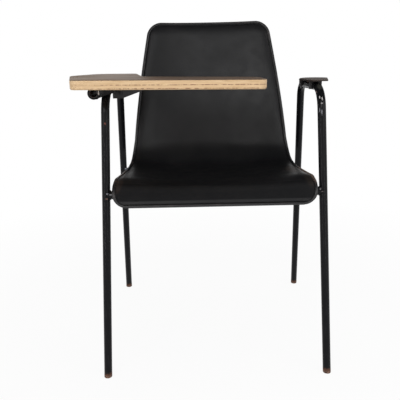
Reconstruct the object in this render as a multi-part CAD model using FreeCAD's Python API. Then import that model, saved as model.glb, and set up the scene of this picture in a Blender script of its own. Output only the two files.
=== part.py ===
import FreeCAD, Part
import math
import os

# Lecture chair with a folding writing tablet, in millimetres.
# A bent tube on each side makes two legs and an arm, and two cross tubes join them under a moulded
# one-piece seat shell with a padded liner. The tablet swings up and outward on a long hinge beside
# the arm at -X. +X is to the right seen from the front, +Y runs from front to back, +Z is up.

Vector = FreeCAD.Vector
os.makedirs("parts", exist_ok=True)

# Bent side frames, measured to tube centre lines
TUBE_OD = 19.0
TUBE_WALL = 1.5
ARM_HEIGHT = 676.0
ARM_HALF_WIDTH = 239.5
ARM_FRONT = 73.0
ARM_REAR = 293.0
ARM_BEND = 50.0
FRONT_FOOT_HALF_WIDTH = 267.0
REAR_FOOT_HALF_WIDTH = 282.0
REAR_FOOT_REACH = 503.0

# Closed steel ends on the legs
CAP_HEIGHT = 7.0
CAP_SPIGOT = 16.0
CAP_FIT = 0.1
CAP_EDGE = 1.2

# Cross tubes
CROSS_OD = 19.0
CROSS_WALL = 1.5
FRONT_CROSS_HEIGHT = 445.0
REAR_CROSS_DROP = 15.0

# Underside line of the seat shell, from the front lip to the top of the back
LIP_FRONT_GAP = 6.5
LIP_TOP_GAP = 2.5
LIP_DROP = 17.0
LIP_RADIUS = 20.0
LIP_TURN = 97.0
SEAT_RUN = 250.0
SEAT_HOLLOW = 6.0
FOLD_RADIUS = 95.0
FOLD_TURN = 79.0
BACK_RUN = 333.5
BACK_BOW = 3.0

# Width and wrap of the seat shell
SEAT_HALF_WIDTH = 233.0
FOLD_WIDTH_SHARE = 0.9485
TOP_WIDTH_SHARE = 0.7232
FOLD_TAPER_SHARE = -0.08
TOP_TAPER_SHARE = -0.195
FRONT_CORNER = 32.0
TOP_CORNER = 36.0
LIP_EDGE_RISE = -1.0
SEAT_EDGE_RISE = 17.5
LUMBAR_EDGE_RISE = 45.0
TOP_EDGE_RISE = 14.0
SEAT_WING_LEAD = 40.0
SEAT_WING_RUN = 70.0
FOLD_WING_LEAD = 62.0
WRAP_POWER = 2.6

# Walls of the shell and its liner
SHELL_WALL = 3.5
RIM_WIDTH = 7.0
RIM_HEIGHT = 2.5
PAD_GAP = 0.3
PAD_EDGE_GAP = 0.8
PAD_EDGE = 1.8
PAD_CROWN = 6.5
PAD_ROLL = 36.0

# Seat brackets, mounting blocks and screws
FRONT_BLOCK_SPREAD = 110.0
REAR_BLOCK_SPREAD = 100.0
FRONT_BLOCK_SETBACK = 38.0
REAR_BLOCK_SETBACK = 42.0
BRACKET_WIDTH = 34.0
BRACKET_SHEET = 3.0
BRACKET_DROP = 3.5
BRACKET_MARGIN = 15.0
BLOCK_RADIUS = 11.0
SEAT_SCREW_RADIUS = 2.5
SEAT_SCREW_HEAD_RADIUS = 5.0
SEAT_SCREW_HEAD_HEIGHT = 3.0
SEAT_SCREW_BITE = 6.5
WASHER_RADIUS = 7.5
WASHER_SHEET = 1.2
SCREW_FIT = 0.15

# Plain arm: a thin shaped pad on a welded strip
ARM_STRIP_WIDTH = 32.0
ARM_STRIP_SHEET = 2.0
ARM_STRIP_MARGIN = 8.0
ARM_SADDLE_WIDTH = 29.0
ARM_SADDLE_SHEET = 3.0
ARM_SADDLE_DROP = 7.0
ARM_PAD_SHEET = 3.0
ARM_PAD_SETBACK = 20.0
ARM_PAD_SHORTFALL = 8.0
ARM_PAD_NOSE_REACH = 17.5
ARM_PAD_NOSE_WIDTH = 37.5
ARM_PAD_INNER_REACH = 23.0
ARM_PAD_WIDTH = 77.0
ARM_PAD_OUTER_PLACE_SHARE = 0.745
ARM_PAD_INNER_PLACE_SHARE = 0.63
ARM_PAD_REAR_PLACE_SHARE = 0.46
ARM_PAD_NOSE_RADIUS = 6.0
ARM_PAD_NOSE_OUTER_RADIUS = 8.0
ARM_PAD_OUTER_RADIUS = 30.0
ARM_PAD_REAR_RADIUS = 26.0
ARM_PAD_INNER_RADIUS = 75.0
RIVET_RADIUS = 2.0
RIVET_HEAD_RADIUS = 3.6
RIVET_HEAD_HEIGHT = 1.4
RIVET_OFFSET = 12.5
RIVET_MARGIN = 14.0

# Tablet hinge beside the writing arm
HINGE_OFFSET = 24.5
PIVOT_OD = 19.0
PIVOT_WALL = 1.0
SLEEVE_WALL = 3.9
SLEEVE_FIT = 0.08
SLEEVE_LEAD = 8.0
FRONT_SLEEVE_LENGTH = 34.0
SLEEVE_SPACING = 97.0
REAR_SLEEVE_LENGTH = 42.0
LUG_SHEET = 6.0
LUG_RADIUS = 12.3
LUG_WAIST = 15.0
LUG_GAP = 2.0

# Tablet brackets and rest
LEAF_SHEET = 3.0
LEAF_OUTER_REACH = 14.0
LEAF_INNER_REACH = 74.0
LEAF_WELD_GAP = 0.2
FRONT_LEAF_LENGTH = 28.0
WEB_SETBACK = 3.0
WEB_NOSE = 3.0
WEB_TIP = 0.5
WEB_ROOT_REACH = 4.7
REST_GAP = 0.3
REST_SHEET = 3.0
REST_SETBACK = 7.0
REST_LAP = 1.2
REST_PLATE_WIDTH = 25.0
REST_DROP = 27.4
REST_REACH = 121.5
REST_NOSE = 6.0
REST_FOLD_TURN = 12.0
TABLET_SCREW_RADIUS = 2.0
TABLET_SCREW_HEAD_RADIUS = 4.2
TABLET_SCREW_HEAD_HEIGHT = 2.2
TABLET_SCREW_BITE = 12.0
TABLET_SCREW_PLACES = (45.0, 65.0)

# Tablet: plywood board with a thin laminate face
BOARD_THICKNESS = 17.0
LAMINATE_THICKNESS = 1.0
TABLET_SAG = 0.8
TABLET_OVERHANG = 183.0
TABLET_OUTSIDE = 7.0
TABLET_INSIDE = 359.2
TABLET_INSIDE_DEPTH = 144.0
TABLET_ELBOW_OUTSIDE = 77.0
TABLET_ELBOW_DEPTH = 288.0
TABLET_REAR_OUTSIDE = 46.0
TABLET_REAR_OUTSIDE_DEPTH = 476.0
TABLET_REAR_INSIDE = 58.0
TABLET_REAR_DEPTH = 498.0
TABLET_NOTCH_INSIDE = 106.0
TABLET_NOTCH_DEPTH = 210.0
TABLET_OUTSIDE_RADIUS = 14.0
TABLET_ELBOW_RADIUS = 220.0
TABLET_REAR_OUTSIDE_RADIUS = 55.0
TABLET_REAR_INSIDE_RADIUS = 14.0
TABLET_NOTCH_RADIUS = 10.0
TABLET_INSIDE_DEPTH_RADIUS = 42.0
TABLET_INSIDE_RADIUS = 18.0

# One overrun for every cut
OVERRUN = 30.0

tube_radius = TUBE_OD / 2
cross_radius = CROSS_OD / 2
arm_top = ARM_HEIGHT + tube_radius
rear_cross_height = FRONT_CROSS_HEIGHT - REAR_CROSS_DROP
front_foot = Vector(FRONT_FOOT_HALF_WIDTH, 0, 0)
rear_foot = Vector(REAR_FOOT_HALF_WIDTH, REAR_FOOT_REACH, 0)
front_corner = Vector(ARM_HALF_WIDTH, ARM_FRONT, ARM_HEIGHT)
rear_corner = Vector(ARM_HALF_WIDTH, ARM_REAR, ARM_HEIGHT)
nodes = {}


def on_side(point, side):
    """The same point on the +X side (1) or the -X side (-1)."""
    return Vector(point.x * side, point.y, point.z)


def on_leg(foot, corner, height):
    """Centre of a leg at a height above the floor."""
    return foot + (corner - foot) * (height / ARM_HEIGHT)


def corner_arc(before, corner, after, radius):
    """Tangent arc that rounds one corner, as its first, middle and last points."""
    back = (before - corner).normalize()
    ahead = (after - corner).normalize()
    half = back.getAngle(ahead) / 2
    reach = radius / math.tan(half)
    inward = (back + ahead).normalize()
    middle = corner + inward * (radius / math.sin(half) - radius)
    return corner + back * reach, middle, corner + ahead * reach


def rounded_path(points, radius):
    """Straight runs through the points, joined by tangent arcs of one radius."""
    edges = []
    start = points[0]
    for before, corner, after in zip(points, points[1:], points[2:]):
        first, middle, last = corner_arc(before, corner, after, radius)
        edges.append(Part.LineSegment(start, first).toShape())
        edges.append(Part.Arc(first, middle, last).toShape())
        start = last
    edges.append(Part.LineSegment(start, points[-1]).toShape())
    return Part.Wire(edges)


def rounded_plate(corners, bottom, thickness):
    """Flat plate whose outline turns at (x, y, radius) corners."""
    points = [Vector(x, y, bottom) for x, y, radius in corners]
    arcs = []
    for i, corner in enumerate(corners):
        after = points[(i + 1) % len(points)]
        arcs.append(corner_arc(points[i - 1], points[i], after, corner[2]))
    edges = []
    for i, (first, middle, last) in enumerate(arcs):
        edges.append(Part.Arc(first, middle, last).toShape())
        edges.append(Part.LineSegment(last, arcs[(i + 1) % len(arcs)][0]).toShape())
    return Part.Face(Part.Wire(edges)).extrude(Vector(0, 0, thickness))


def upright_plate(outline, front, sheet):
    """Plate standing across the chair, from (x, z) corners."""
    points = [Vector(x, front, z) for x, z in outline]
    wire = Part.makePolygon(points + [points[0]])
    return Part.Face(wire).extrude(Vector(0, sheet, 0))


def block(low, high):
    """Box between two corners."""
    size = high - low
    return Part.makeBox(size.x, size.y, size.z, low)


def rod(radius, start, end):
    """Round bar between two points."""
    axis = end - start
    return Part.makeCylinder(radius, axis.Length, start, axis)


def swept(path, radius):
    """Solid of a circle carried along a path."""
    first = path.Edges[0]
    start = first.FirstParameter
    ring = Part.Wire(Part.makeCircle(radius, first.valueAt(start), first.tangentAt(start)))
    return path.makePipeShell([ring], True, False)


def slab(low, high):
    """Space between two heights, wider than the chair."""
    reach = REAR_FOOT_REACH + FRONT_FOOT_HALF_WIDTH
    return block(Vector(-reach, -reach, low), Vector(reach, 2 * reach, high))


# Side frames, each one tube from foot to foot, with a closed end on each leg

def side_path(side):
    """Centre line of one side frame, run on below the floor at both feet."""
    down = (front_foot - front_corner).normalize() * OVERRUN
    down_rear = (rear_foot - rear_corner).normalize() * OVERRUN
    points = (front_foot + down, front_corner, rear_corner, rear_foot + down_rear)
    return rounded_path([on_side(point, side) for point in points], ARM_BEND)


def leg_caps(side):
    """Closed ends of the two legs on one side."""
    caps = []
    for foot, corner in ((front_foot, front_corner), (rear_foot, rear_corner)):
        start = on_side(foot, side)
        end = on_side(corner, side)
        axis = (end - start).normalize()
        body = rod(tube_radius, start - axis * OVERRUN, start + axis * OVERRUN)
        body = body.common(slab(0, CAP_HEIGHT))
        sole = [edge for edge in body.Edges if edge.BoundBox.ZMax < CAP_EDGE]
        body = body.makeFillet(CAP_EDGE, sole)
        top = start + axis * (CAP_HEIGHT + CAP_SPIGOT)
        spigot = rod(tube_radius - TUBE_WALL - CAP_FIT, start, top)
        spigot = spigot.common(slab(CAP_HEIGHT / 2, ARM_HEIGHT))
        caps.append(body.fuse(spigot).removeSplitter())
    return caps


side_outers = {side: swept(side_path(side), tube_radius) for side in (-1, 1)}
side_bores = {side: swept(side_path(side), tube_radius - TUBE_WALL) for side in (-1, 1)}


def side_frame(side):
    """One bent tube that makes the two legs and the arm of a side."""
    return side_outers[side].cut(side_bores[side]).common(slab(CAP_HEIGHT, 2 * ARM_HEIGHT))


nodes["writing_side_frame"] = side_frame(-1)
nodes["plain_side_frame"] = side_frame(1)
nodes["leg_end_caps"] = Part.makeCompound(leg_caps(-1) + leg_caps(1))


# Cross tubes, coped onto the legs

def cross_tube(foot, corner, height):
    """Tube between the two legs of a pair at one height."""
    right = on_leg(foot, corner, height)
    left = on_side(right, -1)
    tube = rod(cross_radius, left, right).cut(rod(cross_radius - CROSS_WALL, left, right))
    for side in (-1, 1):
        tube = tube.cut(side_outers[side])
    return tube


front_cross = on_leg(front_foot, front_corner, FRONT_CROSS_HEIGHT)
rear_cross = on_leg(rear_foot, rear_corner, rear_cross_height)
nodes["front_cross_tube"] = cross_tube(front_foot, front_corner, FRONT_CROSS_HEIGHT)
nodes["rear_cross_tube"] = cross_tube(rear_foot, rear_corner, rear_cross_height)

# Seat shell: sections stand square to the underside line and are lofted into one smooth body

LIP_ARC = LIP_RADIUS * math.radians(LIP_TURN)
FOLD_ARC = FOLD_RADIUS * math.radians(FOLD_TURN)
PROFILE = ((LIP_DROP, 0.0), (LIP_ARC, -LIP_TURN), (SEAT_RUN, SEAT_HOLLOW),
           (FOLD_ARC, FOLD_TURN), (BACK_RUN, BACK_BOW))
shell_length = sum(run for run, turn in PROFILE)
lip_end = LIP_DROP + LIP_ARC
fold_half = SEAT_HALF_WIDTH * FOLD_WIDTH_SHARE
top_half = SEAT_HALF_WIDTH * TOP_WIDTH_SHARE
fold_start = lip_end + SEAT_RUN
fold_end = fold_start + FOLD_ARC
fold_middle = (fold_start + fold_end) / 2
upright = math.radians(90)
shell_front = front_cross.y - cross_radius - LIP_FRONT_GAP
lip_bottom = FRONT_CROSS_HEIGHT + cross_radius + LIP_TOP_GAP - LIP_RADIUS - LIP_DROP


def profile(length):
    """Point (y, z) on the underside line and the unit normal towards the sitter."""
    y, z, heading = shell_front, lip_bottom, upright
    for run, turn in PROFILE:
        step = min(length, run)
        bend = math.radians(turn) * step / run
        if turn:
            curve = math.radians(turn) / run
            y += (math.sin(heading + bend) - math.sin(heading)) / curve
            z += (math.cos(heading) - math.cos(heading + bend)) / curve
        else:
            y += step * math.cos(heading)
            z += step * math.sin(heading)
        heading += bend
        length -= step
    return y, z, -math.sin(heading), math.cos(heading)


def blend(first, last, share):
    """Smooth change from one value to another as share goes from 0 to 1."""
    share = min(max(share, 0.0), 1.0)
    return first + (last - first) * share * share * (3 - 2 * share)


def eased(first, last, slope_first, slope_last, run, share):
    """Cubic from one value to another with a slope at each end."""
    rest = 1 - share
    ends = first * rest * rest * (1 + 2 * share) + last * share * share * (1 + 2 * rest)
    return ends + run * share * rest * (slope_first * rest - slope_last * share)


def side_width(length):
    """Half width of the shell before its corners are rounded."""
    if length < fold_middle:
        return eased(SEAT_HALF_WIDTH, fold_half, 0.0, FOLD_TAPER_SHARE, fold_middle,
                     length / fold_middle)
    run = shell_length - fold_middle
    return eased(fold_half, top_half, FOLD_TAPER_SHARE, TOP_TAPER_SHARE, run,
                 (length - fold_middle) / run)


def edge_rise(length):
    """How far the side edges stand towards the sitter from the middle."""
    if length < fold_start - FOLD_WING_LEAD:
        rising = length - lip_end + SEAT_WING_LEAD
        return blend(LIP_EDGE_RISE, SEAT_EDGE_RISE, rising / SEAT_WING_RUN)
    if length < fold_end:
        rising = length - fold_start + FOLD_WING_LEAD
        return blend(SEAT_EDGE_RISE, LUMBAR_EDGE_RISE, rising / (FOLD_ARC + FOLD_WING_LEAD))
    return blend(LUMBAR_EDGE_RISE, TOP_EDGE_RISE, (length - fold_end) / BACK_RUN)


def half_width(length, inset):
    """Half width at a distance along the shell, inset from the outline, corners rounded."""
    half = side_width(length) - inset
    for corner, away in ((FRONT_CORNER, length), (TOP_CORNER, shell_length - length)):
        radius = corner - inset
        short = radius - (away - inset)
        if short > 0:
            half -= radius - math.sqrt(max(radius * radius - short * short, 0.0))
    return half


def across(length, inset, lift):
    """Curve from side to side, lifted off the underside surface by lift(length, x, half)."""
    y, z, normal_y, normal_z = profile(length)
    half = half_width(length, inset)
    full = side_width(length)
    rise = edge_rise(length)
    points = []
    steps = 16
    for i in range(steps + 1):
        x = half * math.sin(math.radians(180) * (i / steps - 0.5))
        height = rise * abs(x / full) ** WRAP_POWER + lift(length, x, half)
        points.append(Vector(x, y + normal_y * height, z + normal_z * height))
    return points


def spline(points):
    """Smooth edge through points."""
    curve = Part.BSplineCurve()
    curve.interpolate(points)
    return curve.toShape()


def section(length, inset, low, high):
    """Closed wire across the shell between two lifts."""
    lower = across(length, inset, low)
    upper = across(length, inset, high)
    return Part.Wire([spline(lower), Part.makeLine(lower[-1], upper[-1]),
                      spline(upper[::-1]), Part.makeLine(upper[0], lower[0])])


def spaced(start, end, count):
    """Evenly spaced distances after start, up to end."""
    return [start + (end - start) * (i + 1) / count for i in range(count)]


def stations(inset):
    """Distances of the sections, close together round the corners and the bends."""
    corner_angles = (0, 24, 46, 68, 90)
    front = [inset + (FRONT_CORNER - inset) * (1 - math.cos(math.radians(a))) for a in corner_angles]
    top = [inset + (TOP_CORNER - inset) * (1 - math.cos(math.radians(a))) for a in corner_angles]
    middle = spaced(FRONT_CORNER, lip_end, 2) + spaced(lip_end, fold_start, 6)
    middle += spaced(fold_start, fold_end, 6) + spaced(fold_end, shell_length - TOP_CORNER, 6)[:-1]
    return front + middle + [shell_length - distance for distance in reversed(top)]


def shell_body(inset, low, high):
    """Loft of the sections between two lifts."""
    return Part.makeLoft([section(s, inset, low, high) for s in stations(inset)], True, False)


def flat(lift):
    """The same lift everywhere."""
    return lambda length, x, half: lift


def block_places():
    """Axis (x, y) of each seat screw, with the height of its cross tube."""
    places = []
    for side in (-1, 1):
        places.append((side * FRONT_BLOCK_SPREAD, front_cross.y + FRONT_BLOCK_SETBACK, front_cross))
        places.append((side * REAR_BLOCK_SPREAD, rear_cross.y - REAR_BLOCK_SETBACK, rear_cross))
    return places


blank = shell_body(0.0, flat(0.0), flat(SHELL_WALL + RIM_HEIGHT))
pocket = shell_body(RIM_WIDTH, flat(SHELL_WALL), flat(SHELL_WALL + OVERRUN / 2))
nodes["seat_shell"] = blank.cut(pocket).removeSplitter()
blocks = []
screws = []
washers = []
front_brackets = []
rear_brackets = []
for x, y, cross in block_places():
    plate_top = cross.z - BRACKET_DROP + BRACKET_SHEET / 2
    plate_bottom = plate_top - BRACKET_SHEET
    head_top = plate_bottom - WASHER_SHEET
    head_bottom = head_top - SEAT_SCREW_HEAD_HEIGHT
    tip = plate_top + SEAT_SCREW_BITE
    pillar = rod(BLOCK_RADIUS, Vector(x, y, plate_top), Vector(x, y, profile(lip_end)[1]))
    below = min(pillar.cut(blank).Solids, key=lambda solid: solid.BoundBox.ZMin)
    pilot = rod(SEAT_SCREW_RADIUS + SCREW_FIT, Vector(x, y, plate_top), Vector(x, y, tip + SCREW_FIT))
    blocks.append(below.cut(pilot))
    shank = rod(SEAT_SCREW_RADIUS, Vector(x, y, head_top), Vector(x, y, tip))
    head = rod(SEAT_SCREW_HEAD_RADIUS, Vector(x, y, head_bottom), Vector(x, y, head_top))
    screws.append(head.fuse(shank))
    hole = rod(SEAT_SCREW_RADIUS + SCREW_FIT, Vector(x, y, head_top), Vector(x, y, plate_top))
    washers.append(rod(WASHER_RADIUS, Vector(x, y, head_top), Vector(x, y, plate_bottom)).cut(hole))
    ahead = y + BRACKET_MARGIN if cross is front_cross else y - BRACKET_MARGIN
    low = Vector(x - BRACKET_WIDTH / 2, min(cross.y, ahead), plate_bottom)
    high = Vector(x + BRACKET_WIDTH / 2, max(cross.y, ahead), plate_top)
    bracket = block(low, high).cut(rod(cross_radius, on_side(cross, -1), cross)).cut(hole)
    (front_brackets if cross is front_cross else rear_brackets).append(bracket)

nodes["seat_mount_blocks"] = Part.makeCompound(blocks)
nodes["front_seat_brackets"] = Part.makeCompound(front_brackets)
nodes["rear_seat_brackets"] = Part.makeCompound(rear_brackets)
nodes["seat_screws"] = Part.makeCompound(screws)
nodes["seat_washers"] = Part.makeCompound(washers)

# Padded liner inside the rim, rolled down to a groove all round

pad_inset = RIM_WIDTH + PAD_EDGE_GAP


def roll(distance):
    """Share of the full crown at a distance in from the liner's edge."""
    return 1 - (1 - min(distance / PAD_ROLL, 1)) ** 3


def pad_face(length, x, half):
    """Lift of the liner's face."""
    ends = roll(length - pad_inset) * roll(shell_length - pad_inset - length)
    return SHELL_WALL + PAD_GAP + PAD_EDGE + PAD_CROWN * ends * roll(half - abs(x))


nodes["seat_pad"] = shell_body(pad_inset, flat(SHELL_WALL + PAD_GAP), pad_face)

# Plain arm: welded strip with its ends turned down over the tube, thin shaped pad and its rivets

strip_bottom = arm_top + REST_GAP
strip_top = strip_bottom + ARM_STRIP_SHEET
strip_front = ARM_FRONT + ARM_BEND + ARM_STRIP_MARGIN
strip_back = ARM_REAR - ARM_BEND
strip = block(Vector(ARM_HALF_WIDTH - ARM_STRIP_WIDTH / 2, strip_front, strip_bottom),
              Vector(ARM_HALF_WIDTH + ARM_STRIP_WIDTH / 2, strip_back, strip_top))
for saddle_front in (strip_front - ARM_SADDLE_SHEET, strip_back):
    low = Vector(ARM_HALF_WIDTH - ARM_SADDLE_WIDTH / 2, saddle_front, ARM_HEIGHT - ARM_SADDLE_DROP)
    high = Vector(ARM_HALF_WIDTH + ARM_SADDLE_WIDTH / 2, saddle_front + ARM_SADDLE_SHEET, strip_top)
    strip = strip.fuse(block(low, high).cut(side_outers[1]))
strip = strip.removeSplitter()

pad_front = ARM_FRONT + ARM_PAD_SETBACK
pad_length = ARM_REAR - ARM_PAD_SHORTFALL - pad_front
pad_inner = ARM_HALF_WIDTH - ARM_PAD_INNER_REACH
pad_nose = ARM_HALF_WIDTH - ARM_PAD_NOSE_REACH
pad_corners = (
    (pad_nose, pad_front, ARM_PAD_NOSE_RADIUS),
    (pad_nose + ARM_PAD_NOSE_WIDTH, pad_front, ARM_PAD_NOSE_OUTER_RADIUS),
    (pad_inner + ARM_PAD_WIDTH, pad_front + pad_length * ARM_PAD_OUTER_PLACE_SHARE,
     ARM_PAD_OUTER_RADIUS),
    (pad_inner + ARM_PAD_WIDTH * ARM_PAD_REAR_PLACE_SHARE, pad_front + pad_length,
     ARM_PAD_REAR_RADIUS),
    (pad_inner, pad_front + pad_length * ARM_PAD_INNER_PLACE_SHARE, ARM_PAD_INNER_RADIUS))
arm_pad = rounded_plate(pad_corners, strip_top, ARM_PAD_SHEET)
rivets = []
for x in (ARM_HALF_WIDTH - RIVET_OFFSET, ARM_HALF_WIDTH + RIVET_OFFSET):
    for y in (strip_front + RIVET_MARGIN, strip_back - RIVET_MARGIN):
        low = Vector(x, y, strip_bottom)
        high = Vector(x, y, strip_top + ARM_PAD_SHEET)
        hole = rod(RIVET_RADIUS + SCREW_FIT, low, high)
        arm_pad = arm_pad.cut(hole)
        strip = strip.cut(hole)
        head = rod(RIVET_HEAD_RADIUS, low - Vector(0, 0, RIVET_HEAD_HEIGHT), low)
        rivets.append(head.fuse(rod(RIVET_RADIUS, low, high)))
nodes["arm_pad"] = arm_pad
nodes["arm_pad_strip"] = strip
nodes["arm_pad_rivets"] = Part.makeCompound(rivets)

# Tablet hinge: a fixed pivot tube on two lugs, with a turning sleeve at each end

sleeve_bore = PIVOT_OD / 2 + SLEEVE_FIT
sleeve_radius = sleeve_bore + SLEEVE_WALL
hinge_x = -ARM_HALF_WIDTH - HINGE_OFFSET
sag = math.radians(TABLET_SAG)
leaf_bottom = arm_top + REST_GAP + (HINGE_OFFSET + tube_radius) * math.tan(sag)
leaf_top = leaf_bottom + LEAF_SHEET
hinge_z = leaf_bottom - LEAF_WELD_GAP - sleeve_radius
sleeve_front = ARM_FRONT - SLEEVE_LEAD
front_sleeve_end = sleeve_front + FRONT_SLEEVE_LENGTH
rear_sleeve_start = front_sleeve_end + SLEEVE_SPACING
rear_sleeve_end = rear_sleeve_start + REAR_SLEEVE_LENGTH
front_lug = front_sleeve_end + LUG_GAP
rear_lug = rear_sleeve_start - LUG_GAP - LUG_SHEET


def on_hinge(y):
    """Point on the hinge axis."""
    return Vector(hinge_x, y, hinge_z)


pivot = rod(PIVOT_OD / 2, on_hinge(sleeve_front), on_hinge(rear_sleeve_end))
nodes["hinge_pivot_tube"] = pivot.cut(
    rod(PIVOT_OD / 2 - PIVOT_WALL, on_hinge(sleeve_front), on_hinge(rear_sleeve_end)))


def lug(front):
    """Plate that carries the pivot tube on the arm."""
    ring = rod(LUG_RADIUS, on_hinge(front), on_hinge(front + LUG_SHEET))
    half = LUG_WAIST / 2
    waist = upright_plate(((hinge_x, hinge_z - half), (-ARM_HALF_WIDTH, ARM_HEIGHT - half),
                           (-ARM_HALF_WIDTH, ARM_HEIGHT + half), (hinge_x, hinge_z + half)),
                          front, LUG_SHEET)
    return ring.fuse(waist).cut(pivot).cut(side_outers[-1]).removeSplitter()


nodes["hinge_lugs"] = Part.makeCompound([lug(front_lug), lug(rear_lug)])


def sleeve(front, back):
    """Thick sleeve that turns on the pivot tube."""
    start, end = on_hinge(front), on_hinge(back)
    return rod(sleeve_radius, start, end).cut(rod(sleeve_bore, start, end))


moving = {}
moving["front_hinge_sleeve"] = sleeve(sleeve_front, front_sleeve_end)
moving["rear_hinge_sleeve"] = sleeve(rear_sleeve_start, rear_sleeve_end)

# Leaves that carry the board: the front one has a tapered web, welded to its sleeve

leaf_left = hinge_x - LEAF_OUTER_REACH
leaf_right = hinge_x + LEAF_INNER_REACH
web_front = sleeve_front + WEB_SETBACK
web_root = hinge_x + WEB_ROOT_REACH
web_bottom = hinge_z - math.sqrt(sleeve_radius ** 2 - WEB_ROOT_REACH ** 2)
sleeve_blank = rod(sleeve_radius, on_hinge(sleeve_front), on_hinge(rear_sleeve_end))
front_leaf = block(Vector(leaf_left, web_front, leaf_bottom),
                   Vector(leaf_right, web_front + FRONT_LEAF_LENGTH, leaf_top))
web = upright_plate(((leaf_left, leaf_bottom), (leaf_left + WEB_NOSE, leaf_bottom - WEB_NOSE),
                     (hinge_x, hinge_z), (web_root, web_bottom), (leaf_right, leaf_bottom - WEB_TIP),
                     (leaf_right, leaf_bottom)), web_front, LEAF_SHEET)
rear_leaf = block(Vector(leaf_left, rear_sleeve_start, leaf_bottom),
                  Vector(leaf_right, rear_sleeve_end, leaf_top))
moving["front_tablet_bracket"] = front_leaf.fuse(web.cut(sleeve_blank)).removeSplitter()
moving["rear_tablet_bracket"] = rear_leaf

# Tablet board and laminate

board_bottom = leaf_top
board_top = board_bottom + BOARD_THICKNESS
tablet_front = ARM_FRONT - TABLET_OVERHANG
tablet_corners = (
    (hinge_x - TABLET_OUTSIDE, tablet_front, TABLET_OUTSIDE_RADIUS),
    (hinge_x - TABLET_ELBOW_OUTSIDE, tablet_front + TABLET_ELBOW_DEPTH, TABLET_ELBOW_RADIUS),
    (hinge_x - TABLET_REAR_OUTSIDE, tablet_front + TABLET_REAR_OUTSIDE_DEPTH,
     TABLET_REAR_OUTSIDE_RADIUS),
    (hinge_x + TABLET_REAR_INSIDE, tablet_front + TABLET_REAR_DEPTH, TABLET_REAR_INSIDE_RADIUS),
    (hinge_x + TABLET_NOTCH_INSIDE, tablet_front + TABLET_NOTCH_DEPTH, TABLET_NOTCH_RADIUS),
    (hinge_x + TABLET_INSIDE, tablet_front + TABLET_INSIDE_DEPTH, TABLET_INSIDE_DEPTH_RADIUS),
    (hinge_x + TABLET_INSIDE, tablet_front, TABLET_INSIDE_RADIUS))
board = rounded_plate(tablet_corners, board_bottom, BOARD_THICKNESS)
moving["tablet_laminate"] = rounded_plate(tablet_corners, board_top, LAMINATE_THICKNESS)
tablet_screws = []
leaf_rows = (("front_tablet_bracket", web_front + (FRONT_LEAF_LENGTH + LEAF_SHEET) / 2),
             ("rear_tablet_bracket", (rear_sleeve_start + rear_sleeve_end) / 2))
for leaf, y in leaf_rows:
    for reach in TABLET_SCREW_PLACES:
        seat = Vector(hinge_x + reach, y, leaf_bottom)
        tip = seat + Vector(0, 0, LEAF_SHEET + TABLET_SCREW_BITE)
        hole = rod(TABLET_SCREW_RADIUS + SCREW_FIT, seat, tip + Vector(0, 0, SCREW_FIT))
        board = board.cut(hole)
        moving[leaf] = moving[leaf].cut(hole)
        head = rod(TABLET_SCREW_HEAD_RADIUS, seat - Vector(0, 0, TABLET_SCREW_HEAD_HEIGHT), seat)
        tablet_screws.append(head.fuse(rod(TABLET_SCREW_RADIUS, seat, tip)))
moving["tablet_board"] = board
moving["tablet_screws"] = Part.makeCompound(tablet_screws)

# The tablet's inner end hangs a little low, so everything that turns is tilted about the hinge

for name, shape in moving.items():
    shape.rotate(on_hinge(0), Vector(0, 1, 0), TABLET_SAG)
    nodes[name] = shape


def under_board(x):
    """Height of the board's underside at rest, with the sag."""
    return hinge_z + (board_bottom - hinge_z) / math.cos(sag) - (x - hinge_x) * math.tan(sag)


# Fixed rest on the arm: a plate round the tube, folded into a tapered bracket under the board

rest_left = hinge_x + sleeve_radius - REST_LAP
rest_fold = rest_left + REST_PLATE_WIDTH
rest_tip = rest_left + REST_REACH
rest_front = rear_sleeve_end + REST_SETBACK
rest_bottom = ARM_HEIGHT - REST_DROP
rest_plate = upright_plate(((rest_left, rest_bottom), (rest_fold, rest_bottom),
                            (rest_fold, under_board(rest_fold) - REST_GAP),
                            (rest_left, under_board(rest_left) - REST_GAP)), rest_front, REST_SHEET)
rest_wing = upright_plate(((rest_fold, rest_bottom), (rest_tip, under_board(rest_tip) - REST_NOSE),
                           (rest_tip, under_board(rest_tip) - REST_GAP),
                           (rest_fold, under_board(rest_fold) - REST_GAP)), rest_front, REST_SHEET)
rest_wing.rotate(Vector(rest_fold, rest_front, 0), Vector(0, 0, 1), REST_FOLD_TURN)
nodes["tablet_rest_bracket"] = rest_plate.fuse(rest_wing).cut(side_outers[-1]).removeSplitter()

# The origin is on the floor under the middle of the whole chair

bounds = Part.makeCompound(list(nodes.values())).optimalBoundingBox(False, False)
shift = Vector(-bounds.Center.x, -bounds.Center.y, -bounds.ZMin)
for name, shape in nodes.items():
    shape.translate(shift)
    shape.exportStep("parts/" + name + ".step")
    print(name, "solids", len(shape.Solids), "valid", shape.isValid(), "volume", round(shape.Volume))

print("shift", shift)
print("hinge axis", on_hinge(0) + shift)
print("sole of the front right leg", on_side(front_foot, 1) + shift)
print("tablet face", Vector(hinge_x, 0, hinge_z) + shift)
print("top above hinge", board_top + LAMINATE_THICKNESS - hinge_z)
print("size", bounds.XLength, bounds.YLength, bounds.ZLength)
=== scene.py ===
import math

import bmesh
import bpy
from mathutils import Matrix, Vector, noise


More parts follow.
